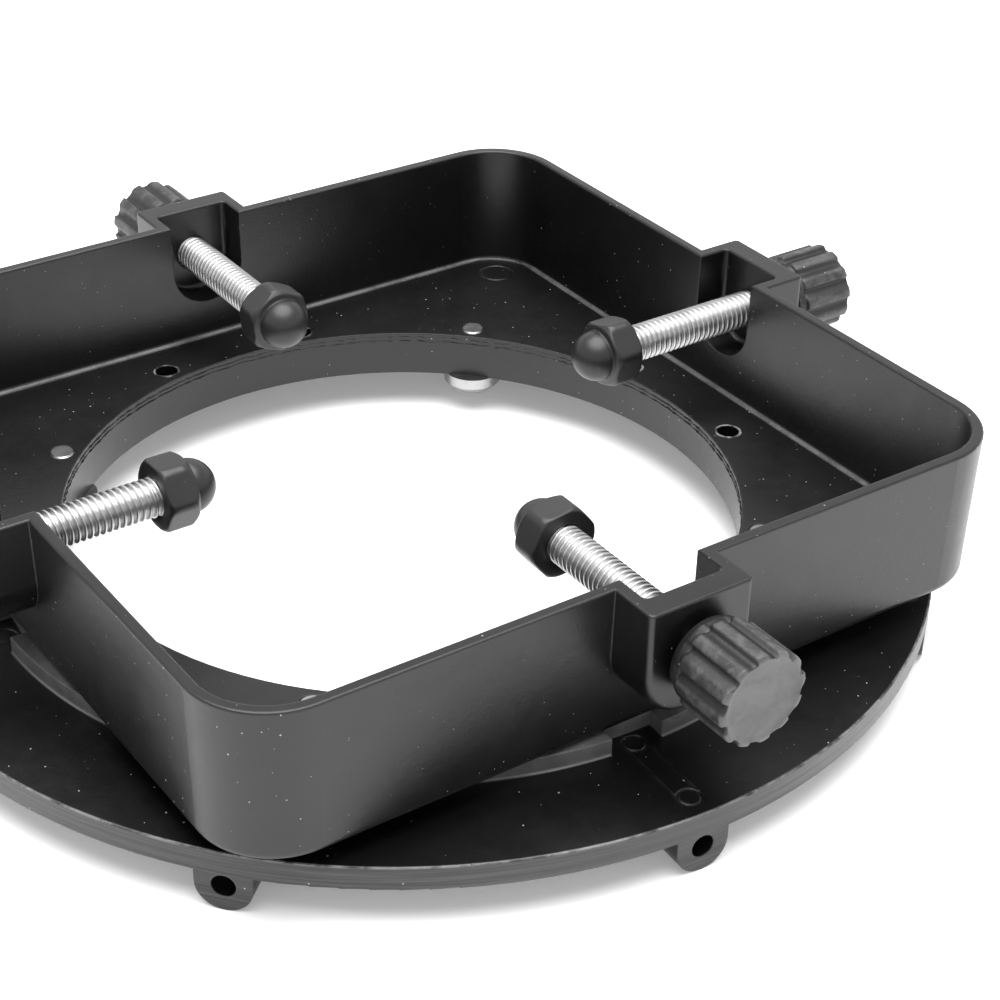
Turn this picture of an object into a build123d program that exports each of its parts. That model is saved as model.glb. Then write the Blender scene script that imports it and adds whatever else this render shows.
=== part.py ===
"""Universal clamp mount for barn doors.

A square clamp frame takes the nose of a round lamp head between four clamp screws. A round door
ring turns on the collar under the frame, and its lugs carry the door leaves. The origin is on the
axis of the light opening, level with the lowest points of the lugs, with +Z towards the lamp.
"""

from build123d import *
from math import cos, pi, radians, sin
import os

# Levels above the surface that the lugs stand on
LUG_HOLE_Z = 4.0
HEAD_DEPTH = 4.4
COLLAR_BOTTOM_Z = 6.8
RING_TOP_Z = 9.6
FRAME_BOTTOM_Z = 12.2
FLOOR_TOP_Z = 14.5
CLAMP_AXIS_Z = 27.6
RIM_Z = 35.8

# Clamp frame: an open square box with drafted walls and rounded corners
FRAME_WIDTH = 128.0
FRAME_CORNER_R = 12.0
WALL = 1.8
OUTER_DRAFT = 1.4
INNER_DRAFT = 0.8
BOTTOM_FILLET = 1.5
FLOOR_FILLET = 0.8
RIM_FILLET = 0.35
OPENING_R = 52.1
COLLAR_R = 58.55
EDGE_BREAK = 0.3

# Pockets: outward steps in the walls that carry the clamp screws and take the caps
POCKET_HALF_WIDTH = 8.4
POCKET_REACH = 71.5
POCKET_DEPTH = 16.9
POCKET_BOTTOM_R = 6.5
POCKET_SIDE_WALL = 2.0
POCKET_END_WALL = 3.9
POCKET_FILLET = 0.8
POCKET_ROOT = 58.0

# Door ring: a flat ring with a stiff rim, a hub that carries the frame, and eight lugs
RING_R = 81.3
RING_RIM_Z = 5.8
RING_RIM_WIDTH = 2.5
RING_PLATE = 2.2
HUB_R = 65.3
HUB_BOTTOM_Z = 7.0
TURN_CLEARANCE = 0.05
NOTCH_WIDTH = 8.0
NOTCH_DEPTH = 3.0
LUG_COUNT = 8
LUG_START_ANGLE = -93.7
LUG_R = 4.0
LUG_DEPTH = 6.5
LUG_HOLE_R = 1.72
RIB_WIDTH = 2.4
RIB_START = 61.0

# Marks that the mould's ejector pins leave
MARK_DEPTH = 0.15
MARK_LINE = 0.35
RING_MARK_R = 1.65
RING_MARK_CENTRES = (64.7, 77.6)
FRAME_MARK_R = 2.9
FRAME_MARK_OFFSET = 54.9

# Retaining screws: M4 pan-head screws that keep the ring on the collar
SCREW_COUNT = 4
SCREW_CIRCLE_R = 55.2
SCREW_R = 1.98
SCREW_HOLE_R = 2.0
SCREW_HEAD_R = 4.95
SCREW_HEAD_EDGE = 1.8
SCREW_TIP_Z = 14.65
RECESS_LENGTH = 4.6
RECESS_WIDTH = 0.9
RECESS_DEPTH = 1.4

# Cored holes in the floor, one each side of every clamp screw
CORE_HOLE_R = 1.9
CORE_HOLE_DEPTH = 4.0
CORE_CIRCLE_R = 55.5
CORE_ANGLE = 13.5

# Clamp screws: M6 studs with a fluted knob outside and a domed hexagon cap inside.
# Places along a screw are distances from the axis of the light opening.
STUD_R = 2.95
STUD_HOLE_R = 3.0
GRIP_BORE_R = 2.98
STUD_INNER = 37.35
STUD_OUTER = 81.25
CAP_INNER = 32.4
CAP_HEX_INNER = 36.6
CAP_OUTER = 41.8
CAP_FLATS = 10.0
CAP_DOME_R = 4.05
CAP_BORE_END = 37.3
KNOB_NECK = 72.55
KNOB_INNER = 73.5
KNOB_OUTER = 84.3
KNOB_BORE_END = 81.3
KNOB_R = 6.95
KNOB_NECK_R = 5.9
KNOB_CHAMFER = 0.45
DISH_DEPTH = 0.3
DISH_R = 5.4
FLUTE_COUNT = 12
FLUTE_DEPTH = 0.75
# One flute's outline as (part of the flute's width, part of its depth)
FLUTE_CORNERS = ((0.0, 0.0), (0.3, 0.1), (0.5, 1.0), (0.75, 0.9))
CAP_TURNS = (8.0, -14.0, 23.0, 2.0)
KNOB_TURNS = (4.0, 17.0, 9.0, 24.0)


def tube(outer_r, inner_r, low, high):
    """A round tube on the main axis between two levels."""
    disc = Circle(outer_r) - Circle(inner_r)
    return extrude(Plane.XY.offset(low) * disc, high - low)


def disc(radius, low, high):
    """A round disc on the main axis between two levels."""
    return extrude(Plane.XY.offset(low) * Circle(radius), high - low)


def around(shape, angle):
    """The shape turned about the main axis."""
    return Rot(0, 0, angle) * shape


def along(radius, start, end):
    """A round bar on a clamp screw's axis, which runs along +X."""
    return extrude(Plane.YZ.offset(start) * Pos(0, CLAMP_AXIS_Z) * Circle(radius), end - start)


def mark(radius, level):
    """The shallow ring groove of an ejector pin, cut into a face at a level."""
    return tube(radius + MARK_LINE / 2, radius - MARK_LINE / 2, level - MARK_DEPTH, level + MARK_DEPTH)


def drafted_box(width, corner_r, depth, draft):
    """A rounded square block that hangs from the rim and narrows downwards."""
    top = Plane(origin=(0, 0, RIM_Z), z_dir=(0, 0, -1)) * RectangleRounded(width, width, corner_r)
    return extrude(top, depth, taper=draft)


def pocket_block(half_width, depth, bottom_r, start, end, edge_r):
    """A block across the wall with a rounded bottom, open upwards at the rim."""
    outline = Plane.YZ.offset(start) * Pos(0, RIM_Z - depth / 2) * Rectangle(2 * half_width, depth)
    block = extrude(outline, end - start)
    bottom = block.edges().filter_by(Axis.X).group_by(Axis.Z)[0]
    block = fillet(bottom, bottom_r)
    end_face = block.faces().sort_by(Axis.X)[-1]
    rounded = end_face.edges().filter_by(lambda edge: edge.center().Z < RIM_Z - EDGE_BREAK)
    return fillet(rounded, edge_r)


def clamp_frame():
    """The square frame with its floor, collar, pockets and holes."""
    outer = drafted_box(FRAME_WIDTH, FRAME_CORNER_R, RIM_Z - FRAME_BOTTOM_Z, OUTER_DRAFT)
    outer = fillet(outer.edges().group_by(Axis.Z)[0], BOTTOM_FILLET)
    pocket = pocket_block(POCKET_HALF_WIDTH, POCKET_DEPTH, POCKET_BOTTOM_R,
                          POCKET_ROOT, POCKET_REACH, POCKET_FILLET)
    for quarter in range(4):
        outer += around(pocket, 90 * quarter)
    inner_width = FRAME_WIDTH - 2 * WALL
    cavity = drafted_box(inner_width, FRAME_CORNER_R - WALL, RIM_Z - FLOOR_TOP_Z, INNER_DRAFT)
    cavity = fillet(cavity.edges().group_by(Axis.Z)[0], FLOOR_FILLET)
    recess = pocket_block(POCKET_HALF_WIDTH - POCKET_SIDE_WALL, POCKET_DEPTH - POCKET_SIDE_WALL,
                          POCKET_BOTTOM_R - EDGE_BREAK, POCKET_ROOT, POCKET_REACH - POCKET_END_WALL,
                          POCKET_FILLET)
    frame = outer - cavity
    for quarter in range(4):
        frame -= around(recess, 90 * quarter)
    rim = frame.edges().filter_by_position(Axis.Z, RIM_Z, RIM_Z)
    frame = fillet(rim, RIM_FILLET)
    frame += disc(COLLAR_R, COLLAR_BOTTOM_Z, FLOOR_TOP_Z - BOTTOM_FILLET / 2)
    frame -= disc(OPENING_R, COLLAR_BOTTOM_Z, FLOOR_TOP_Z)
    stud_hole = along(STUD_HOLE_R, POCKET_ROOT, POCKET_REACH + EDGE_BREAK)
    screw_hole = Pos(SCREW_CIRCLE_R, 0) * disc(SCREW_HOLE_R, COLLAR_BOTTOM_Z, FLOOR_TOP_Z)
    core_hole = Pos(CORE_CIRCLE_R, 0) * disc(CORE_HOLE_R, FLOOR_TOP_Z - CORE_HOLE_DEPTH, FLOOR_TOP_Z)
    pin_mark = Pos(FRAME_MARK_OFFSET, FRAME_MARK_OFFSET) * mark(FRAME_MARK_R, FLOOR_TOP_Z)
    for quarter in range(4):
        frame -= around(stud_hole, 90 * quarter)
        frame -= around(screw_hole, 90 * quarter + 45)
        frame -= around(core_hole, 90 * quarter + CORE_ANGLE)
        frame -= around(core_hole, 90 * quarter - CORE_ANGLE)
        frame -= around(pin_mark, 90 * quarter)
    return frame


def lug():
    """One door lug under the rim on +X, with its radial hole."""
    face = Plane.YZ.offset(RING_R - LUG_DEPTH)
    plate_underside = RING_TOP_Z - RING_PLATE
    height = plate_underside - LUG_HOLE_Z
    body = Pos(0, LUG_HOLE_Z) * Circle(LUG_R)
    body += Pos(0, LUG_HOLE_Z + height / 2) * Rectangle(2 * LUG_R, height)
    return extrude(face * body, LUG_DEPTH - EDGE_BREAK / 3)


def door_ring():
    """The ring that turns under the frame and carries the door leaves."""
    plate_underside = RING_TOP_Z - RING_PLATE
    ring = disc(RING_R, plate_underside, RING_TOP_Z)
    ring += tube(RING_R, RING_R - RING_RIM_WIDTH, RING_RIM_Z, RING_TOP_Z)
    rim_edges = ring.edges().filter_by(lambda edge: edge.length > 2 * pi * (RING_R - EDGE_BREAK))
    ring = fillet(rim_edges, EDGE_BREAK)
    ring += disc(HUB_R, HUB_BOTTOM_Z, FRAME_BOTTOM_Z - TURN_CLEARANCE)
    ring -= disc(COLLAR_R + TURN_CLEARANCE, 0, RIM_Z)
    rib_length = RING_R - LUG_DEPTH - RIB_START
    rib = Pos(RIB_START + rib_length / 2, 0, (RING_RIM_Z + plate_underside) / 2)
    rib *= Box(rib_length, RIB_WIDTH, plate_underside - RING_RIM_Z)
    notch = Pos(HUB_R - NOTCH_DEPTH + LUG_R, 0, RING_TOP_Z + LUG_R)
    notch *= Box(2 * LUG_R, NOTCH_WIDTH, 2 * LUG_R)
    mark_length = RING_MARK_CENTRES[1] - RING_MARK_CENTRES[0]
    mark_side = Box(mark_length, MARK_LINE, MARK_DEPTH)
    mark_middle = Pos(RING_MARK_CENTRES[0] + mark_length / 2, 0, RING_TOP_Z)
    hole_start = RING_R - LUG_DEPTH - 1
    hole = Plane.YZ.offset(hole_start) * Pos(0, LUG_HOLE_Z) * Circle(LUG_HOLE_R)
    hole = extrude(hole, LUG_DEPTH + 2)
    for index in range(LUG_COUNT):
        angle = LUG_START_ANGLE + 360 / LUG_COUNT * index
        ring += around(lug() + rib, angle)
        ring -= around(hole, angle)
        ring -= around(notch, angle)
        for centre in RING_MARK_CENTRES:
            ring -= around(Pos(centre, 0) * mark(RING_MARK_R, RING_TOP_Z), angle)
        for side in (-RING_MARK_R, RING_MARK_R):
            ring -= around(mark_middle * Pos(0, side) * mark_side, angle)
    return ring


def retaining_screw():
    """One pan-head screw at +X, its head under the collar and its tip in the floor."""
    shank = disc(SCREW_R, COLLAR_BOTTOM_Z, SCREW_TIP_Z)
    shank = chamfer(shank.edges().group_by(Axis.Z)[-1], EDGE_BREAK)
    edge_z = COLLAR_BOTTOM_Z - SCREW_HEAD_EDGE
    crown = HEAD_DEPTH - SCREW_HEAD_EDGE
    ball_r = (SCREW_HEAD_R ** 2 + crown ** 2) / (2 * crown)
    head = disc(SCREW_HEAD_R, COLLAR_BOTTOM_Z - HEAD_DEPTH, COLLAR_BOTTOM_Z)
    head &= Pos(0, 0, edge_z - crown + ball_r) * Sphere(ball_r)
    bottom_z = COLLAR_BOTTOM_Z - HEAD_DEPTH
    slot = Pos(0, 0, bottom_z) * Box(RECESS_LENGTH, RECESS_WIDTH, 2 * RECESS_DEPTH)
    head -= slot
    head -= around(slot, 90)
    return Pos(SCREW_CIRCLE_R, 0) * (shank + head)


def clamp_stud():
    """One threaded stud along +X."""
    stud = along(STUD_R, STUD_INNER, STUD_OUTER)
    return chamfer(stud.edges().filter_by(GeomType.CIRCLE), 2 * EDGE_BREAK)


def clamp_cap(turn):
    """One domed hexagon cap on the inner end of a stud."""
    corner_r = CAP_FLATS / 2 / cos(radians(30))
    hexagon = Plane.YZ.offset(CAP_HEX_INNER) * Pos(0, CLAMP_AXIS_Z)
    hexagon *= Rot(0, 0, turn) * RegularPolygon(corner_r, 6)
    cap = extrude(hexagon, CAP_OUTER - CAP_HEX_INNER)
    crown_r = 2 * corner_r
    crown = Pos(CAP_HEX_INNER + crown_r - EDGE_BREAK * 2, 0, CLAMP_AXIS_Z) * Sphere(crown_r)
    cap &= crown
    dome_centre = CAP_INNER + CAP_DOME_R
    cap += along(CAP_DOME_R, dome_centre, CAP_HEX_INNER + 1)
    cap += Pos(dome_centre, 0, CLAMP_AXIS_Z) * Sphere(CAP_DOME_R)
    return cap - along(GRIP_BORE_R, CAP_BORE_END, CAP_OUTER + 1)


def knob_outline():
    """The fluted outline of a knob: long ramps that end in short steep steps."""
    pitch = 360 / FLUTE_COUNT
    points = []
    for flute in range(FLUTE_COUNT):
        for part, depth in FLUTE_CORNERS:
            angle = radians(pitch * (flute + part))
            radius = KNOB_R - depth * FLUTE_DEPTH
            points.append((radius * cos(angle), radius * sin(angle)))
    return make_face(Polyline(*points, close=True))


def clamp_knob(turn):
    """One fluted knob on the outer end of a stud."""
    plane = Plane.YZ.offset(KNOB_INNER) * Pos(0, CLAMP_AXIS_Z) * Rot(0, 0, turn)
    knob = extrude(plane * knob_outline(), KNOB_OUTER - KNOB_INNER)
    barrel = along(KNOB_R, KNOB_INNER, KNOB_OUTER)
    knob &= chamfer(barrel.edges().filter_by(GeomType.CIRCLE), KNOB_CHAMFER)
    knob += along(KNOB_NECK_R, KNOB_NECK, KNOB_INNER)
    ball_r = (DISH_R ** 2 + DISH_DEPTH ** 2) / (2 * DISH_DEPTH)
    knob -= Pos(KNOB_OUTER - DISH_DEPTH + ball_r, 0, CLAMP_AXIS_Z) * Sphere(ball_r)
    return knob - along(GRIP_BORE_R, KNOB_NECK, KNOB_BORE_END)


def main():
    """Write every piece of the mount to its own file."""
    os.makedirs("parts", exist_ok=True)
    export_step(clamp_frame(), "parts/clamp_frame.step")
    export_step(door_ring(), "parts/door_ring.step")
    for index in range(SCREW_COUNT):
        number = index + 1
        screw = around(retaining_screw(), 90 * index + 45)
        export_step(screw, f"parts/retaining_screw_{number}.step")
        quarter = 90 * index - 90
        export_step(around(clamp_stud(), quarter), f"parts/clamp_stud_{number}.step")
        export_step(around(clamp_cap(CAP_TURNS[index]), quarter), f"parts/clamp_cap_{number}.step")
        export_step(around(clamp_knob(KNOB_TURNS[index]), quarter), f"parts/clamp_knob_{number}.step")


main()
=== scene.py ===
import math
import bpy
from mathutils import Matrix, Vector


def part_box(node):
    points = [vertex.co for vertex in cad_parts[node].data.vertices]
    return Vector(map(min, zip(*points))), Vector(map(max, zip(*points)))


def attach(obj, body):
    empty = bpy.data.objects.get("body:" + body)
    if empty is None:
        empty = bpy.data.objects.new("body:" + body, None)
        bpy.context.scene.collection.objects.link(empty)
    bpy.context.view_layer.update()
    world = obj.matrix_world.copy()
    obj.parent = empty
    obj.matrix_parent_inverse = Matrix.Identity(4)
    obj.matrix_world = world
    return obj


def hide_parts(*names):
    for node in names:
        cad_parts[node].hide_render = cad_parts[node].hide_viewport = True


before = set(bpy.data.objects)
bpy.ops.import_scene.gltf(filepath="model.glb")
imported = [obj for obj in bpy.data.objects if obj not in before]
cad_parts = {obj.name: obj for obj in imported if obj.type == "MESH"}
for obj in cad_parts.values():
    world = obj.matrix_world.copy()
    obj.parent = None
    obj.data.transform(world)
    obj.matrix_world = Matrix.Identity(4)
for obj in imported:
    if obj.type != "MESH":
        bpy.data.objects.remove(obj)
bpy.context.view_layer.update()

MM = 0.001


def measured(node, corner, axis):
    """One coordinate of a node's lowest (0) or highest (1) corner, to a hundredth of a millimetre."""
    return round(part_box(node)[corner][axis], 5)


# Places along a clamp screw, from the second one, which lies along +X
STUD_INNER = measured("clamp_stud_2", 0, 0)
STUD_OUTER = measured("clamp_stud_2", 1, 0)
CAP_TIP = measured("clamp_cap_2", 0, 0)
CAP_BACK = measured("clamp_cap_2", 1, 0)
KNOB_END = measured("clamp_knob_2", 1, 0)
CLAMP_AXIS = (measured("clamp_stud_2", 0, 2) + measured("clamp_stud_2", 1, 2)) / 2

# The door ring and its hub
RING_RADIUS = measured("door_ring", 1, 0)
RING_TOP = 9.6 * MM
HUB_RADIUS = 65.3 * MM
NOTCH_HALF_WIDTH = 4.0 * MM
LUG_COUNT = 8
LUG_START = -93.7

# The clamp frame: its floor, the inner foot of its walls, and the cored holes in its floor
QUARTERS = 4
FLOOR_TOP = 14.5 * MM
WALL_FOOT = 61.9 * MM
CORE_CIRCLE = 55.5 * MM
CORE_ANGLE = 13.5
CORE_RADIUS = 1.9 * MM
# The most that across and ahead come to together, inside the frame's rounded corners
INDOOR_REACH = 119.0 * MM


# ---------------------------------------------------------------- node trees

class Socket:
    """An output in a node tree. Sums written with it add Math nodes."""

    def __init__(self, tree, link):
        self.tree = tree
        self.link = link

    def out(self, name):
        """Another output of the same node."""
        return Socket(self.tree, self.link.node.outputs[name])

    def math(self, operation, *others):
        """A Math node on this value and the others."""
        inputs = dict(enumerate((self, *others)))
        return self.tree.node("ShaderNodeMath", {"operation": operation}, inputs)

    def between(self, low, high):
        """0 at low and 1 at high, with an eased slope between them."""
        inputs = {"Value": self, "From Min": low, "From Max": high}
        return self.tree.node("ShaderNodeMapRange", {"interpolation_type": "SMOOTHSTEP"}, inputs)

    def past(self, edge, fade):
        """0 before an edge and 1 beyond it. The fade gives where it starts and ends, from the edge."""
        return self.between(edge + fade[0], edge + fade[1])

    def __add__(self, other):
        return self.math("ADD", other)

    def __sub__(self, other):
        return self.math("SUBTRACT", other)

    def __rsub__(self, other):
        return self.tree.node("ShaderNodeMath", {"operation": "SUBTRACT"}, {0: other, 1: self})

    def __mul__(self, other):
        return self.math("MULTIPLY", other)

    def __truediv__(self, other):
        return self.math("DIVIDE", other)

    def __gt__(self, other):
        return self.math("GREATER_THAN", other)

    def __lt__(self, other):
        return self.math("LESS_THAN", other)

    __radd__ = __add__
    __rmul__ = __mul__


class Tree:
    """A material's or a modifier's node tree."""

    def __init__(self, nodes):
        self.tree = nodes

    def node(self, kind, settings=None, inputs=None):
        """A new node's first output. Settings come first, then the values or links of its sockets."""
        made = self.tree.nodes.new(kind)
        for name, value in (settings or {}).items():
            setattr(made, name, value)
        for name, value in (inputs or {}).items():
            socket = self.find(made.inputs, name)
            if isinstance(value, Socket):
                self.tree.links.new(value.link, socket)
            else:
                socket.default_value = value
        shown = [output for output in made.outputs if output.enabled]
        return Socket(self, shown[0]) if shown else None

    @staticmethod
    def find(sockets, name):
        """A socket by its place, its identifier or its name."""
        if isinstance(name, int):
            return sockets[name]
        for socket in sockets:
            if socket.identifier == name:
                return socket
        return sockets[name]

    def mix(self, factor, first, second):
        """One colour blended into another."""
        inputs = {"Factor_Float": factor, "A_Color": first, "B_Color": second}
        return self.node("ShaderNodeMix", {"data_type": "RGBA"}, inputs)

    def noise(self, place, scale, detail=2.0, roughness=0.5, distortion=0.0):
        """Cloudy noise, with its scale in repeats to the metre."""
        inputs = {"Vector": place, "Scale": scale, "Detail": detail, "Roughness": roughness,
                  "Distortion": distortion}
        return self.node("ShaderNodeTexNoise", None, inputs)

    def axes(self, place):
        """The three coordinates of a place."""
        spot = self.node("ShaderNodeSeparateXYZ", None, {"Vector": place})
        return spot.out("X"), spot.out("Y"), spot.out("Z")

    def spot(self, across, ahead, up):
        """The place that has three coordinates."""
        return self.node("ShaderNodeCombineXYZ", None, {"X": across, "Y": ahead, "Z": up})

    def bump(self, strength, distance, height, normal=None):
        """Surface relief of a height, laid over another relief if there is one."""
        inputs = {"Strength": strength, "Distance": distance, "Height": height}
        if normal:
            inputs["Normal"] = normal
        return self.node("ShaderNodeBump", None, inputs)

    def circle(self, radius, corners):
        """A round curve of short straight runs."""
        inputs = {"Resolution": corners, "Radius": radius}
        return self.node("GeometryNodeCurvePrimitiveCircle", {"mode": "RADIUS"}, inputs)

    def mark(self, shape, name, value):
        """The shape with a number stored on its points, which a material reads by name."""
        return self.node("GeometryNodeStoreNamedAttribute", {"data_type": "FLOAT", "domain": "POINT"}, {
            "Geometry": shape, "Name": name, "Value": value})


def new_material(name):
    """An empty material with its tree."""
    material = bpy.data.materials.new(name)
    material.use_nodes = True
    material.node_tree.nodes.clear()
    return material, Tree(material.node_tree)


def finish_material(tree, inputs):
    """The main shader, with its inputs, as the material's surface."""
    shader = tree.node("ShaderNodeBsdfPrincipled", None, inputs)
    tree.node("ShaderNodeOutputMaterial", None, {"Surface": shader})


def grey(level):
    """A neutral colour."""
    return (level, level, level, 1.0)


# ---------------------------------------------------------------- black plastic

# Patterns in the plastic, in repeats to the metre
CLOUD_SCALE = 45.0
SMEAR_SCALE = 220.0
GRAIN_SCALE = 2600.0
SPECK_SCALE = 700.0
PATCH_SCALE = 420.0

# Streaks on the ring's rim: repeats to the radian round it, and to the metre up and inward
STREAKS_ROUND = 3.0
STREAKS_UP = 2600.0
STREAKS_INWARD = 40.0

# Dust specks: the least size and the spread of sizes, as parts of a cell, and how well they cover
SPECK_LEAST = 0.015
SPECK_SPREAD = 0.075
SPECK_COVER = 0.6

# Edges: their rounding, and the bend at which wear starts and is full, as 1 less its cosine
EDGE_ROUNDING = 0.35 * MM
EDGE_BEND = (0.01, 0.22)

# Relief of the grain and of the smears
GRAIN_STRENGTH = 0.35
GRAIN_DEPTH = 0.03 * MM
SMEAR_STRENGTH = 0.25
SMEAR_DEPTH = 0.12 * MM

# Where paint starts and ends, measured from the edge that it follows
HUB_FADE = (0.02 * MM, 0.12 * MM)
FOOT_SIDE_FADE = (0.1 * MM, 0.4 * MM)
FOOT_START_FADE = (-0.3 * MM, -0.1 * MM)
NOTCH_FADE = (0.0, 0.15 * MM)
RIM_FADE = (-0.35 * MM, -0.1 * MM)
RIM_LIP_FADE = (-0.35 * MM, -0.05 * MM)
CORNER_START_FADE = (-1.0 * MM, -0.7 * MM)
CORNER_END_FADE = (0.1 * MM, 0.2 * MM)
CORNER_TOP_FADE = (0.25 * MM, 0.5 * MM)
FLOOR_FADE = (-0.2 * MM, -0.1 * MM)
CORE_LIP_FADE = (0.15 * MM, 0.35 * MM)
FACE_FADE = (-0.32 * MM, -0.28 * MM)
COLLAR_FADE = (-9.5 * MM, -9.2 * MM)

# Tones, from black to white
# Rubbed edges, and the painted highlight along the hub's foot
WEAR_AND_HIGHLIGHT_TONE = 0.16
DUST_TONE = 0.45
HUB_TONE = 0.075
# A painted highlight on the rims of the cored holes and along the ring's top edge
EDGE_HIGHLIGHT_TONE = 0.24
RIM_TONE = 0.022
# The painted highlight along the corner of the frame's floor and walls
CORNER_HIGHLIGHT_TONE = 0.08
HANDLED_TONE = 0.06
FACE_TONE = 0.062
# Painted shade in the knob's flutes and at its neck
PAINTED_SHADE_TONE = 0.004


def black_moulding(name, tone, rough, grain=1.0, dust=0.0, wear=0.3, paint=None):
    """Black moulded plastic: cloudy sheen, fine grain, dust specks and paler rubbed edges."""
    material, tree = new_material(name)
    place = tree.node("ShaderNodeTexCoord").out("Object")
    cloud = tree.noise(place, CLOUD_SCALE, 3.0, 0.6)
    smear = tree.noise(place, SMEAR_SCALE, 4.0, 0.65, 0.6)
    fine = tree.noise(place, GRAIN_SCALE, 2.0, 0.55)
    rounded = tree.node("ShaderNodeBevel", {"samples": 4}, {"Radius": EDGE_ROUNDING})
    flat = tree.node("ShaderNodeNewGeometry").out("Normal")
    turned = tree.node("ShaderNodeVectorMath", {"operation": "DOT_PRODUCT"}, {0: rounded, 1: flat})
    edge = (1.0 - turned.out("Value")).between(*EDGE_BEND)
    rubbed = edge * smear.between(0.35, 0.7) * wear
    cells = {"Vector": place, "Scale": SPECK_SCALE}
    specks = tree.node("ShaderNodeTexVoronoi", {"feature": "F1"}, cells)
    pick = tree.node("ShaderNodeSeparateColor", None, {"Color": specks.out("Color")})
    small = specks < (pick.out("Green") * SPECK_SPREAD + SPECK_LEAST)
    speck = small * (pick > 1.0 - dust)
    base = tree.mix(cloud.between(0.3, 0.75), grey(tone * 0.75), grey(tone * 1.3))
    if paint:
        base = paint(tree, place, smear, base)
    base = tree.mix(rubbed, base, grey(WEAR_AND_HIGHLIGHT_TONE))
    base = tree.mix(speck * SPECK_COVER, base, grey(DUST_TONE))
    roughness = rough + (cloud - 0.5) * 0.10 + (smear - 0.5) * 0.12 + rubbed * 0.1
    relief = tree.bump(GRAIN_STRENGTH * grain, GRAIN_DEPTH, fine, rounded)
    relief = tree.bump(SMEAR_STRENGTH, SMEAR_DEPTH, smear, relief)
    finish_material(tree, {"Base Color": base, "Roughness": roughness, "Normal": relief,
                           "IOR": 1.5, "Specular IOR Level": 0.5})
    return material


def round_the_axis(tree, place):
    """Distance from the main axis, height, and angle about the axis."""
    across, ahead, up = tree.axes(place)
    radius = (across * across + ahead * ahead).math("SQRT")
    return radius, up, ahead.math("ARCTAN2", across)


def ring_paint(tree, place, smear, base):
    """The hub is paler, with a painted highlight along its foot. The rim is streaked all round, with a
    painted highlight along its top edge.
    """
    radius, up, angle = round_the_axis(tree, place)
    sector = 2 * math.pi / LUG_COUNT
    from_start = (angle - math.radians(LUG_START)) / sector + (LUG_COUNT + 0.5)
    from_lug = (from_start.math("FRACT") - 0.5) * sector
    clear_of_notch = (from_lug.math("ABSOLUTE") * radius).past(NOTCH_HALF_WIDTH, NOTCH_FADE)
    hub = (1.0 - radius.past(HUB_RADIUS, HUB_FADE)) * up.past(RING_TOP, HUB_FADE)
    hub_tone = tree.mix(smear.between(0.3, 0.75), grey(HUB_TONE * 0.8), grey(HUB_TONE * 1.25))
    # A painted highlight along the hub's foot, clear of the notches
    near_foot = 1.0 - (radius - HUB_RADIUS).math("ABSOLUTE").between(*FOOT_SIDE_FADE)
    foot_highlight = near_foot * (1.0 - up.past(RING_TOP, FOOT_SIDE_FADE))
    foot_highlight = foot_highlight * up.past(RING_TOP, FOOT_START_FADE) * clear_of_notch
    rim = radius.past(RING_RADIUS, RIM_FADE)
    lines = tree.spot(angle * STREAKS_ROUND, up * STREAKS_UP, radius * STREAKS_INWARD)
    streak = tree.noise(lines, 1.0, 4.0, 0.7).between(0.32, 0.72)
    streaked = tree.mix(streak, grey(RIM_TONE * 0.25), grey(RIM_TONE * 2.0))
    # A painted highlight along the rim's top edge
    lip = rim * up.past(RING_TOP, RIM_LIP_FADE)
    painted = tree.mix(hub, base, hub_tone)
    painted = tree.mix(foot_highlight * 0.8, painted, grey(WEAR_AND_HIGHLIGHT_TONE))
    painted = tree.mix(rim, painted, streaked)
    return tree.mix(lip * smear.between(0.35, 0.6) * 0.9, painted, grey(EDGE_HIGHLIGHT_TONE))


def frame_paint(tree, place, smear, base):
    """A painted highlight lies along the corner between floor and walls and round the cored holes."""
    across, ahead, up = tree.axes(place)
    across, ahead = across.math("ABSOLUTE"), ahead.math("ABSOLUTE")
    reach = across.math("MAXIMUM", ahead)
    on_floor = up.past(FLOOR_TOP, FLOOR_FADE)
    low = 1.0 - up.past(FLOOR_TOP, CORNER_TOP_FADE)
    corner = reach.past(WALL_FOOT, CORNER_START_FADE) * (1.0 - reach.past(WALL_FOOT, CORNER_END_FADE))
    indoors = (across + ahead) < INDOOR_REACH
    # A painted highlight along the fillet between floor and walls, where it would catch the softbox
    line = low * corner * on_floor * indoors * (smear.between(0.3, 0.6) * 0.6 + 0.4)
    angle = math.radians(CORE_ANGLE)
    past_hole = reach - CORE_CIRCLE * math.cos(angle)
    beside_hole = across.math("MINIMUM", ahead) - CORE_CIRCLE * math.sin(angle)
    from_hole = (past_hole * past_hole + beside_hole * beside_hole).math("SQRT")
    from_edge = (from_hole - CORE_RADIUS).math("ABSOLUTE")
    # A painted highlight round the rims of the cored holes
    lip = (1.0 - from_edge.between(*CORE_LIP_FADE)) * smear.between(0.42, 0.58) * on_floor
    painted = tree.mix(line, base, grey(CORNER_HIGHLIGHT_TONE))
    return tree.mix(lip, painted, grey(EDGE_HIGHLIGHT_TONE))


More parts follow.
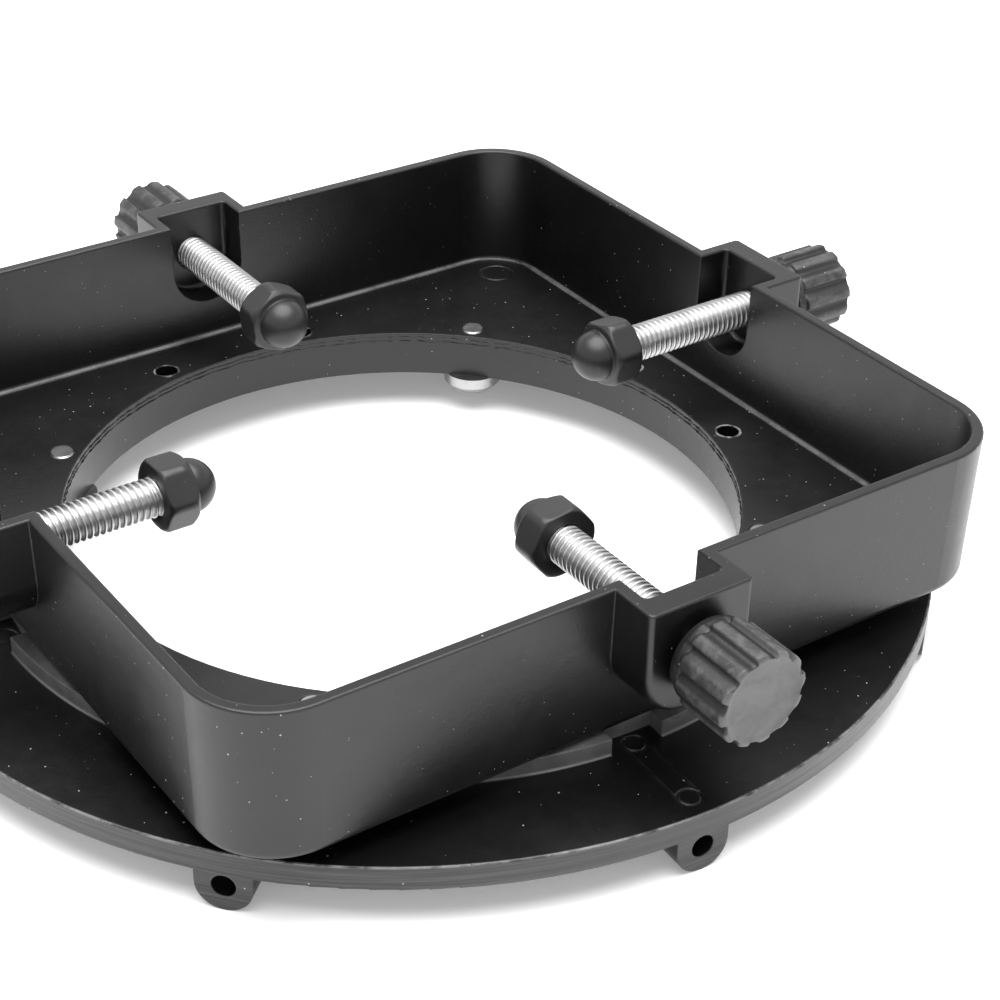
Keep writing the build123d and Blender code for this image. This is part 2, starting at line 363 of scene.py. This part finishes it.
def knob_paint(tree, place, smear, base):
    """The knob is handled to a mottled grey and its end is paler. Painted shade darkens its flutes and its
    collar by the neck.
    """
    radius, _, _ = round_the_axis(tree, place)
    end = radius.past(KNOB_END, FACE_FADE)
    patch = tree.noise(place, PATCH_SCALE, 5.0, 0.7, 0.4).between(0.40, 0.62)
    handled = tree.mix(patch * 0.75, base, grey(HANDLED_TONE))
    face = tree.mix(smear.between(0.3, 0.7), grey(FACE_TONE * 0.75), grey(FACE_TONE * 1.3))
    dip = tree.node("ShaderNodeAttribute", {"attribute_name": "dip"}).out("Fac")
    collar = 1.0 - radius.past(KNOB_END, COLLAR_FADE)
    # Painted shade in the flutes and at the collar by the neck
    painted_shade = (dip.between(0.05, 0.5) + collar).math("MINIMUM", 1.0) * 0.9
    shaded = tree.mix(painted_shade, handled, grey(PAINTED_SHADE_TONE))
    return tree.mix(end * (1.0 - dip.between(0.05, 0.3)), shaded, face)


# ---------------------------------------------------------------- steel

# Patterns in the steel, in repeats to the metre, and the relief of its grain
PLATING_SCALE = 260.0
STAIN_SCALE = 90.0
STEEL_GRAIN_SCALE = 3000.0
STEEL_GRAIN_STRENGTH = 0.3
STEEL_GRAIN_DEPTH = 0.02 * MM


def bright_steel(name, tone, rough):
    """Zinc-plated steel: cloudy plating, fine grain and stains."""
    material, tree = new_material(name)
    place = tree.node("ShaderNodeTexCoord").out("Object")
    cloud = tree.noise(place, PLATING_SCALE, 4.0, 0.6)
    stain = tree.noise(place, STAIN_SCALE, 3.0, 0.7, 0.8)
    fine = tree.noise(place, STEEL_GRAIN_SCALE, 2.0, 0.6)
    base = tree.mix(cloud.between(0.3, 0.75), grey(tone * 0.86), grey(tone))
    base = tree.mix(stain.between(0.55, 0.8) * 0.5, base, grey(tone * 0.55))
    roughness = rough + (cloud - 0.5) * 0.16 + (fine - 0.5) * 0.08
    relief = tree.bump(STEEL_GRAIN_STRENGTH, STEEL_GRAIN_DEPTH, fine)
    finish_material(tree, {"Base Color": base, "Roughness": roughness, "Normal": relief,
                           "Metallic": 1.0})
    return material


# ---------------------------------------------------------------- finishes

FRAME_BLACK = black_moulding("frame black", 0.0022, 0.34, grain=1.6, dust=0.8, wear=0.25,
                             paint=frame_paint)
RING_BLACK = black_moulding("ring black", 0.0012, 0.33, grain=1.2, dust=0.6, wear=0.3,
                            paint=ring_paint)
CAP_BLACK = black_moulding("cap black", 0.010, 0.40, grain=1.2, dust=0.1, wear=0.3)
KNOB_BLACK = black_moulding("knob black", 0.014, 0.48, grain=3.0, dust=0.4, wear=1.0,
                            paint=knob_paint)
STUD_ZINC = bright_steel("stud zinc", 0.56, 0.38)
SCREW_STEEL = bright_steel("screw steel", 0.42, 0.32)

# The finish of each kind of CAD node, without the node's number
NODE_FINISHES = {"clamp_frame": FRAME_BLACK, "door_ring": RING_BLACK, "retaining_screw": SCREW_STEEL,
                 "clamp_stud": STUD_ZINC, "clamp_cap": CAP_BLACK, "clamp_knob": KNOB_BLACK}


def dress_nodes():
    """Every CAD node gets its kind's finish."""
    for name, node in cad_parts.items():
        node.data.materials.clear()
        node.data.materials.append(NODE_FINISHES[name.rstrip("_1234")])


# ---------------------------------------------------------------- mesh helpers

def new_object(name, mesh, material, body):
    """A finished piece that rides on a body, with the given material."""
    mesh.materials.clear()
    mesh.materials.append(material)
    piece = bpy.data.objects.new(name, mesh)
    bpy.context.scene.collection.objects.link(piece)
    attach(piece, body)
    return piece


def quarter_turn(index):
    """The turn about the main axis that carries +X to a clamp screw's place."""
    return Matrix.Rotation(math.radians(90.0 * index - 90.0), 4, "Z")


def turned_shape(name, outline, columns, shape=None):
    """A closed surface turned about the +X line at clamp height from (along, radius) pairs.

    The shape, if given, changes the radius at each angle.
    """
    points, faces = [], []
    for along, radius in outline[1:-1]:
        for column in range(columns):
            angle = 2 * math.pi * column / columns
            reach = shape(angle, radius) if shape else radius
            points.append((along, reach * math.cos(angle), CLAMP_AXIS + reach * math.sin(angle)))
    start_pole = len(points)
    end_pole = start_pole + 1
    points.append((outline[0][0], 0.0, CLAMP_AXIS))
    points.append((outline[-1][0], 0.0, CLAMP_AXIS))
    last_row = len(outline) - 3
    for row in range(last_row):
        for column in range(columns):
            after = (column + 1) % columns
            low, high = row * columns, (row + 1) * columns
            faces.append((low + column, low + after, high + after, high + column))
    top = last_row * columns
    for column in range(columns):
        after = (column + 1) % columns
        faces.append((start_pole, after, column))
        faces.append((end_pole, top + column, top + after))
    mesh = bpy.data.meshes.new(name)
    mesh.from_pydata(points, [], faces)
    mesh.shade_smooth()
    mesh.update()
    return mesh


def start_shape_tree(name, inputs):
    """An empty Geometry Nodes tree, and a socket for each of its named inputs."""
    group = bpy.data.node_groups.new(name, "GeometryNodeTree")
    for label, kind in inputs.items():
        group.interface.new_socket(label, in_out="INPUT", socket_type="NodeSocket" + kind)
    group.interface.new_socket("Mesh", in_out="OUTPUT", socket_type="NodeSocketGeometry")
    tree = Tree(group)
    source = group.nodes.new("NodeGroupInput")
    given = {label: Socket(tree, source.outputs[label]) for label in inputs}
    return group, tree, given


def end_shape_tree(tree, shape, material):
    """The tree's last nodes: real geometry with its material."""
    real = tree.node("GeometryNodeRealizeInstances", None, {"Geometry": shape})
    dressed = tree.node("GeometryNodeSetMaterial", None, {"Geometry": real, "Material": material})
    tree.node("NodeGroupOutput", None, {"Mesh": dressed})


def shape_from_tree(name, tree, values, start_mesh=None):
    """The mesh that a Geometry Nodes tree makes from the values of its named inputs."""
    start = start_mesh or bpy.data.meshes.new("start")
    maker = bpy.data.objects.new("maker", start)
    bpy.context.scene.collection.objects.link(maker)
    modifier = maker.modifiers.new("shape", "NODES")
    modifier.node_group = tree
    for item in tree.interface.items_tree:
        if item.item_type == "SOCKET" and item.in_out == "INPUT" and item.name in values:
            modifier[item.identifier] = values[item.name]
    graph = bpy.context.evaluated_depsgraph_get()
    made = bpy.data.meshes.new_from_object(maker.evaluated_get(graph))
    maker.modifiers.clear()
    bpy.data.objects.remove(maker)
    bpy.data.meshes.remove(start)
    made.name = name
    return made


# ---------------------------------------------------------------- threaded studs

STUD_RADIUS = 2.96 * MM
THREAD_PITCH = 1.0 * MM
THREAD_DEPTH = 0.6 * MM
THREAD_STEPS = 8
THREAD_COLUMNS = 41
# The thread's flank, from crest to root, as parts of half a pitch
THREAD_FLANK = (0.22, 0.88)
# The point at each end: how far it starts below the crest, in thread depths, and its slope
POINT_START = 1.15
POINT_SLOPE = 0.9
MERGE_DISTANCE = 0.002 * MM


def thread_tree():
    """A rod along +X with a right-hand thread: a grid whose rows follow the helix.

    The first and last rows shrink to the axis, which closes the ends.
    """
    group, tree, given = start_shape_tree("thread", {
        "Length": "Float", "Radius": "Float", "Pitch": "Float", "Depth": "Float", "Rows": "Int",
        "Columns": "Int", "Material": "Material"})
    grid = tree.node("GeometryNodeMeshGrid", None, {
        "Size X": 1.0, "Size Y": 1.0, "Vertices X": given["Columns"],
        "Vertices Y": given["Rows"]})
    across, ahead, _ = tree.axes(tree.node("GeometryNodeInputPosition"))
    turn = across + 0.5
    last_row = given["Rows"] - 1.0
    row = ((ahead + 0.5) * last_row).math("ROUND")
    phase = (row / THREAD_STEPS).math("FRACT")
    wave = ((phase * 2.0) - 1.0).math("ABSOLUTE")
    crest = 1.0 - wave.between(*THREAD_FLANK)
    raw = given["Pitch"] * ((row - 1.0) / THREAD_STEPS + turn - 1.0)
    along = raw.math("MAXIMUM", 0.0).math("MINIMUM", given["Length"])
    threaded = given["Radius"] - given["Depth"] * (1.0 - crest)
    to_end = along.math("MINIMUM", given["Length"] - along)
    pointed = given["Radius"] - given["Depth"] * POINT_START + to_end * POINT_SLOPE
    clear_of_ends = (row > 0.5) * (row < (last_row - 0.5))
    radius = threaded.math("MINIMUM", pointed) * clear_of_ends
    angle = turn * (2 * math.pi)
    moved = tree.spot(along, radius * angle.math("COSINE"), radius * angle.math("SINE"))
    rod = tree.node("GeometryNodeSetPosition", None, {"Geometry": grid, "Position": moved})
    rod = tree.node("GeometryNodeMergeByDistance", None, {"Geometry": rod, "Distance": MERGE_DISTANCE})
    rod = tree.node("GeometryNodeSetShadeSmooth", None, {"Geometry": rod})
    end_shape_tree(tree, rod, given["Material"])
    return group


def add_studs():
    """The four threaded studs, each on its own body."""
    thread = thread_tree()
    length = STUD_OUTER - STUD_INNER
    rows = THREAD_STEPS * (math.ceil(length / THREAD_PITCH) + 2) + 1
    sizes = {"Length": length, "Radius": STUD_RADIUS, "Pitch": THREAD_PITCH, "Depth": THREAD_DEPTH,
             "Rows": rows, "Columns": THREAD_COLUMNS, "Material": STUD_ZINC}
    for index in range(QUARTERS):
        node = f"clamp_stud_{index + 1}"
        mesh = shape_from_tree(f"threaded_stud_{index + 1}", thread, sizes)
        mesh.transform(quarter_turn(index) @ Matrix.Translation((STUD_INNER, 0, CLAMP_AXIS)))
        stud = new_object(mesh.name, mesh, STUD_ZINC, node)
        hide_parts(node)


# ---------------------------------------------------------------- caps

CAP_FLATS = 10.0 * MM
CAP_TURNS = (8.0, -14.0, 23.0, 2.0)
CAP_COLUMNS = 144
CAP_EDGE_BLEND = 0.16 * MM
DOME_RADIUS = 4.05 * MM
DOME_STEPS = 14
# The cap behind its dome, as (distance before the back, radius, steps from the row before), in millimetres
CAP_PROFILE = (
    (5.23, 4.03, 1), (5.05, 4.10, 1), (4.87, 4.94, 6), (4.23, 5.52, 8), (0.6, 5.52, 4),
    (0.4, 5.42, 1), (0.2, 5.27, 1), (0.06, 5.12, 1), (0.0, 4.9, 1), (0.0, 4.0, 1), (0.0, 3.2, 1),
    (0.1, 3.0, 1), (0.5, 2.95, 1), (0.6, 0.0, 1))


def smooth_least(first, second, blend):
    """The lesser of two lengths, with a rounded change between them."""
    mixed = max(blend - abs(first - second), 0.0) / blend
    return min(first, second) - mixed * mixed * blend * 0.25


def hexagon(turn):
    """A function that keeps a radius inside a hexagonal bar."""
    def reach(angle, radius):
        local = (angle - math.radians(turn)) % (math.pi / 3) - math.pi / 6
        flat = CAP_FLATS / 2 / math.cos(local)
        return smooth_least(flat, radius, CAP_EDGE_BLEND)
    return reach


def cap_outline():
    """The cap's profile from the dome's tip to the flat back, as (along, radius)."""
    outline = []
    for step in range(DOME_STEPS + 1):
        angle = math.radians(90.0 * step / DOME_STEPS)
        along = CAP_TIP + DOME_RADIUS * (1.0 - math.cos(angle))
        outline.append((along, DOME_RADIUS * math.sin(angle)))
    for before_back, radius, steps in CAP_PROFILE:
        start = Vector(outline[-1])
        end = Vector((CAP_BACK - before_back * MM, radius * MM))
        for step in range(steps):
            outline.append(tuple(start.lerp(end, (step + 1) / steps)))
    return outline


def add_caps():
    """The four domed hexagon caps, each turned as it was last screwed down."""
    outline = cap_outline()
    for index in range(QUARTERS):
        mesh = turned_shape(f"domed_cap_{index + 1}", outline, CAP_COLUMNS, hexagon(CAP_TURNS[index]))
        mesh.transform(quarter_turn(index))
        cap = new_object(mesh.name, mesh, CAP_BLACK, f"clamp_grip_{index + 1}")
        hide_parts(f"clamp_cap_{index + 1}")


# ---------------------------------------------------------------- knobs

KNOB_RADIUS = 6.95 * MM
KNOB_TURNS = (4.0, 17.0, 9.0, 24.0)
KNOB_COLUMNS = 240
FLUTE_COUNT = 12
FLUTE_DEPTH = 0.8 * MM
# One flute, as parts of its width: where it drops steeply, and where it climbs back slowly
FLUTE_DROP = (0.30, 0.38)
FLUTE_CLIMB = (0.48, 0.98)
# How far out on the knob the flutes fade in, as parts of its radius
FLUTE_REACH = (0.88, 0.985)
# The knob from its neck to its outer end, as (place along the screw, radius) in millimetres
KNOB_PROFILE = (
    (73.35, 0.0), (72.75, 3.1), (72.55, 3.3), (72.55, 5.6), (72.66, 5.82), (72.85, 5.9),
    (73.38, 5.9), (73.48, 5.98), (73.5, 6.15), (73.56, 6.28), (73.7, 6.36), (74.2, 6.4),
    (74.75, 6.42), (74.88, 6.48), (74.95, 6.62), (75.02, 6.8), (75.14, 6.91), (75.35, 6.95),
    (77.5, 6.95), (79.5, 6.95), (81.5, 6.95), (83.4, 6.95), (83.85, 6.95), (84.02, 6.91),
    (84.14, 6.82), (84.23, 6.68), (84.28, 6.5), (84.3, 6.3), (84.29, 6.1), (84.22, 5.9),
    (84.14, 5.7), (84.09, 5.3), (84.06, 4.6), (84.04, 3.4), (84.03, 1.7), (84.02, 0.0))


def flute_tree():
    """Long ramps that end in short steep steps, cut along a knob's rim."""
    group, tree, given = start_shape_tree("flutes", {
        "Geometry": "Geometry", "Count": "Int", "Depth": "Float", "Radius": "Float",
        "Axis Height": "Float", "Turn": "Float", "Material": "Material"})
    along, ahead, height = tree.axes(tree.node("GeometryNodeInputPosition"))
    up = height - given["Axis Height"]
    reach = (ahead * ahead + up * up).math("SQRT")
    angle = up.math("ARCTAN2", ahead) - given["Turn"]
    phase = (angle * given["Count"] / (2 * math.pi) + 4.0).math("FRACT")
    groove = phase.between(*FLUTE_DROP) * (1.0 - phase.between(*FLUTE_CLIMB))
    dip = groove * (reach / given["Radius"]).between(*FLUTE_REACH)
    kept = 1.0 - dip * given["Depth"] / given["Radius"]
    moved = tree.spot(along, ahead * kept, up * kept + given["Axis Height"])
    marked = tree.mark(given["Geometry"], "dip", dip)
    cut = tree.node("GeometryNodeSetPosition", None, {"Geometry": marked, "Position": moved})
    end_shape_tree(tree, cut, given["Material"])
    return group


def add_knobs():
    """The four fluted knobs, each turned as it was last screwed on."""
    flutes = flute_tree()
    outline = [(along * MM, radius * MM) for along, radius in KNOB_PROFILE]
    for index in range(QUARTERS):
        name = f"fluted_knob_{index + 1}"
        blank = turned_shape(name + " blank", outline, KNOB_COLUMNS)
        mesh = shape_from_tree(name, flutes, {
            "Count": FLUTE_COUNT, "Depth": FLUTE_DEPTH, "Radius": KNOB_RADIUS,
            "Axis Height": CLAMP_AXIS, "Turn": math.radians(KNOB_TURNS[index]),
            "Material": KNOB_BLACK}, blank)
        mesh.transform(quarter_turn(index))
        knob = new_object(name, mesh, KNOB_BLACK, f"clamp_grip_{index + 1}")
        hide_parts(f"clamp_knob_{index + 1}")


# ---------------------------------------------------------------- mould seams

SEAM_CORNERS = 1440
SEAM_SIDES = 5
SEAM_GRAIN = 900.0
# The grain of the seam's wandering up and down, against that of its wandering in and out
SEAM_WANDER = 0.37
# Each seam's radius, level, thickness and raggedness, in millimetres
BORE_SEAMS = {"bore_seam_upper": (52.08, 13.65, 0.16, 0.7),
              "bore_seam_lower": (52.08, 12.95, 0.14, 0.7)}
RING_SEAMS = {"ring_edge_seam": (81.22, 9.5, 0.09, 0.22)}


def seam_tree():
    """A thin ragged ridge along a circle, where two halves of a mould met."""
    group, tree, given = start_shape_tree("seam", {
        "Radius": "Float", "Level": "Float", "Thickness": "Float", "Ragged": "Float",
        "Grain": "Float", "Material": "Material"})
    circle = tree.circle(given["Radius"], SEAM_CORNERS)
    place = tree.node("GeometryNodeInputPosition")
    in_and_out = tree.noise(place, given["Grain"], 3.0, 0.6) - 0.5
    up_and_down = tree.noise(place, given["Grain"] * SEAM_WANDER, 3.0, 0.6) - 0.5
    spread = 1.0 + in_and_out * given["Ragged"] / given["Radius"]
    across, ahead, _ = tree.axes(place)
    moved = tree.spot(across * spread, ahead * spread,
                      given["Level"] + up_and_down * given["Ragged"])
    line = tree.node("GeometryNodeSetPosition", None, {"Geometry": circle, "Position": moved})
    section = tree.circle(given["Thickness"], SEAM_SIDES)
    ridge = tree.node("GeometryNodeCurveToMesh", None, {"Curve": line, "Profile Curve": section})
    end_shape_tree(tree, ridge, given["Material"])
    return group


def add_seams(seam, seams, body, material):
    """One body's seams."""
    for name, sizes in seams.items():
        radius, level, thickness, ragged = (size * MM for size in sizes)
        mesh = shape_from_tree(name, seam, {
            "Radius": radius, "Level": level, "Thickness": thickness, "Ragged": ragged,
            "Grain": SEAM_GRAIN, "Material": material})
        new_object(name, mesh, material, body)


# ---------------------------------------------------------------- lips of the cored holes

LIP_RADIUS = 1.92 * MM
LIP_THICKNESS = 0.12 * MM
LIP_CORNERS = 48
LIP_SIDES = 8


def lip_tree():
    """A thin raised lip round each of the given points."""
    group, tree, given = start_shape_tree("lips", {
        "Geometry": "Geometry", "Radius": "Float", "Thickness": "Float", "Material": "Material"})
    lip = tree.node("GeometryNodeCurveToMesh", None, {
        "Curve": tree.circle(given["Radius"], LIP_CORNERS),
        "Profile Curve": tree.circle(given["Thickness"], LIP_SIDES)})
    lips = tree.node("GeometryNodeInstanceOnPoints", None, {
        "Points": given["Geometry"], "Instance": lip})
    lips = tree.node("GeometryNodeSetShadeSmooth", None, {"Geometry": lips})
    end_shape_tree(tree, lips, given["Material"])
    return group


def add_lips():
    """The lips of all eight cored holes, one each side of every clamp screw."""
    places = []
    for quarter in range(QUARTERS):
        for side in (-CORE_ANGLE, CORE_ANGLE):
            angle = math.radians(90.0 * quarter + side)
            places.append((CORE_CIRCLE * math.cos(angle), CORE_CIRCLE * math.sin(angle), FLOOR_TOP))
    centres = bpy.data.meshes.new("hole centres")
    centres.from_pydata(places, [], [])
    mesh = shape_from_tree("cored_hole_lips", lip_tree(), {
        "Radius": LIP_RADIUS, "Thickness": LIP_THICKNESS, "Material": FRAME_BLACK}, centres)
    new_object(mesh.name, mesh, FRAME_BLACK, "clamp_frame")


# ---------------------------------------------------------------- crumbs of flash

CRUMB_COUNT = 260
CRUMB_SIZE = 0.11 * MM
CRUMB_SPREAD = 0.3 * MM
CRUMB_SEED = 3
CRUMB_INSET = 0.25 * MM
CRUMB_SINK = 0.02 * MM
CRUMB_LINE_CORNERS = 720
CRUMB_LEAST = (0.3, 0.3, 0.3)
CRUMB_MOST = (1.6, 1.6, 0.9)
# How far a crumb may lie off its line each way, as parts of the spread
CRUMB_BOUNDS = (1.0, 1.0, 0.3)


def crumb_tree():
    """Small crumbs of flash strewn along a circle."""
    group, tree, given = start_shape_tree("crumbs", {
        "Radius": "Float", "Level": "Float", "Count": "Int", "Size": "Float", "Spread": "Float",
        "Seed": "Int", "Material": "Material"})
    points = tree.node("GeometryNodeCurveToPoints", {"mode": "COUNT"}, {
        "Curve": tree.circle(given["Radius"], CRUMB_LINE_CORNERS), "Count": given["Count"]})
    jitter = tree.node("FunctionNodeRandomValue", {"data_type": "FLOAT_VECTOR"}, {
        "Min": tuple(-bound for bound in CRUMB_BOUNDS), "Max": CRUMB_BOUNDS, "Seed": given["Seed"]})
    shift = tree.node("ShaderNodeVectorMath", {"operation": "SCALE"}, {
        0: jitter, "Scale": given["Spread"]})
    lift = tree.spot(0.0, 0.0, given["Level"])
    offset = tree.node("ShaderNodeVectorMath", {"operation": "ADD"}, {0: shift, 1: lift})
    points = tree.node("GeometryNodeSetPosition", None, {"Geometry": points, "Offset": offset})
    crumb = tree.node("GeometryNodeMeshIcoSphere", None, {"Radius": given["Size"], "Subdivisions": 1})
    scale = tree.node("FunctionNodeRandomValue", {"data_type": "FLOAT_VECTOR"}, {
        "Min": CRUMB_LEAST, "Max": CRUMB_MOST, "Seed": given["Seed"] + 1.0})
    crumbs = tree.node("GeometryNodeInstanceOnPoints", None, {
        "Points": points, "Instance": crumb, "Scale": scale})
    end_shape_tree(tree, crumbs, given["Material"])
    return group


def add_crumbs():
    """Crumbs along the top edge of the ring."""
    mesh = shape_from_tree("ring_edge_crumbs", crumb_tree(), {
        "Radius": RING_RADIUS - CRUMB_INSET, "Level": RING_TOP - CRUMB_SINK, "Count": CRUMB_COUNT,
        "Size": CRUMB_SIZE, "Spread": CRUMB_SPREAD, "Seed": CRUMB_SEED, "Material": RING_BLACK})
    new_object(mesh.name, mesh, RING_BLACK, "door_ring")


# ---------------------------------------------------------------- stage and camera

# The stage, with lengths in metres and the softbox's power in watts
FLOOR_REACH = 40.0
FLOOR_TONE = 0.86
FLOOR_ROUGHNESS = 0.7
FLOOR_GLOW = 0.2
SOFTBOX_SIZE = 1.5
SOFTBOX_HEIGHT = 1.2
SOFTBOX_POWER = 37.0
WORLD_LOW = 1.3
WORLD_HIGH = 0.55

# The camera's angles in degrees, its aim and distance in metres, and its lens and film in millimetres
CAMERA_TURN = -35.0687
CAMERA_RISE = 31.9959
CAMERA_ROLL = 1.1776
CAMERA_AIM = Vector((-8.557, -38.144, 35.8)) * MM
CAMERA_DISTANCE = 301.531 * MM
CAMERA_LENS = 80.14
CAMERA_FILM = 36.0
CAMERA_CLIPS = (0.01, 100.0)


def add_floor():
    """A pale floor that glows a little and can be looked through from below."""
    material, tree = new_material("floor white")
    pale = tree.node("ShaderNodeBsdfPrincipled", None, {
        "Base Color": grey(FLOOR_TONE), "Roughness": FLOOR_ROUGHNESS,
        "Emission Color": grey(1.0), "Emission Strength": FLOOR_GLOW})
    clear = tree.node("ShaderNodeBsdfTransparent")
    below = tree.node("ShaderNodeNewGeometry").out("Backfacing")
    surface = tree.node("ShaderNodeMixShader", None, {0: below, 1: pale, 2: clear})
    tree.node("ShaderNodeOutputMaterial", None, {"Surface": surface})
    corners = [(FLOOR_REACH * across, FLOOR_REACH * ahead, 0.0)
               for across, ahead in ((-1, -1), (1, -1), (1, 1), (-1, 1))]
    mesh = bpy.data.meshes.new("floor")
    mesh.from_pydata(corners, [], [(0, 1, 2, 3)])
    mesh.materials.append(material)
    floor = bpy.data.objects.new("floor", mesh)
    bpy.context.scene.collection.objects.link(floor)


def add_softbox():
    """One large round light straight overhead."""
    light = bpy.data.lights.new("overhead softbox", "AREA")
    light.shape = "DISK"
    light.size = SOFTBOX_SIZE
    light.energy = SOFTBOX_POWER
    lamp = bpy.data.objects.new("overhead softbox", light)
    lamp.location = (0.0, 0.0, SOFTBOX_HEIGHT)
    bpy.context.scene.collection.objects.link(lamp)


def add_world():
    """A studio that is brightest low down and dimmer overhead."""
    world = bpy.data.worlds.new("studio")
    bpy.context.scene.world = world
    world.use_nodes = True
    world.node_tree.nodes.clear()
    tree = Tree(world.node_tree)
    _, _, height = tree.axes(tree.node("ShaderNodeTexCoord").out("Generated"))
    tint = tree.mix(height.between(0.25, 0.8), grey(WORLD_LOW), grey(WORLD_HIGH))
    glow = tree.node("ShaderNodeBackground", None, {"Color": tint, "Strength": 1.0})
    tree.node("ShaderNodeOutputWorld", None, {"Surface": glow})


def add_camera():
    """A long lens that looks down on the mount from the front left."""
    turn, rise, roll = (math.radians(angle) for angle in (CAMERA_TURN, CAMERA_RISE, CAMERA_ROLL))
    back = Vector((math.sin(turn) * math.cos(rise), -math.cos(turn) * math.cos(rise), math.sin(rise)))
    camera = bpy.data.cameras.new("camera")
    camera.lens = CAMERA_LENS
    camera.sensor_width = CAMERA_FILM
    camera.clip_start, camera.clip_end = CAMERA_CLIPS
    view = bpy.data.objects.new("camera", camera)
    right = (-back).cross(Vector((0, 0, 1))).normalized()
    up = right.cross(-back)
    tilted_right = right * math.cos(roll) + up * math.sin(roll)
    tilted_up = up * math.cos(roll) - right * math.sin(roll)
    axes = Matrix((tilted_right, tilted_up, back)).transposed().to_4x4()
    view.matrix_world = Matrix.Translation(CAMERA_AIM + back * CAMERA_DISTANCE) @ axes
    bpy.context.scene.collection.objects.link(view)
    bpy.context.scene.camera = view


def set_picture():
    """Plain picture settings, with no film curve."""
    scene = bpy.context.scene
    scene.view_settings.view_transform = "Standard"
    scene.view_settings.look = "None"


add_floor()
add_world()
add_softbox()
add_camera()
set_picture()
dress_nodes()
add_studs()
add_caps()
add_knobs()
seam = seam_tree()
add_seams(seam, BORE_SEAMS, "clamp_frame", FRAME_BLACK)
add_seams(seam, RING_SEAMS, "door_ring", RING_BLACK)
add_lips()
add_crumbs()
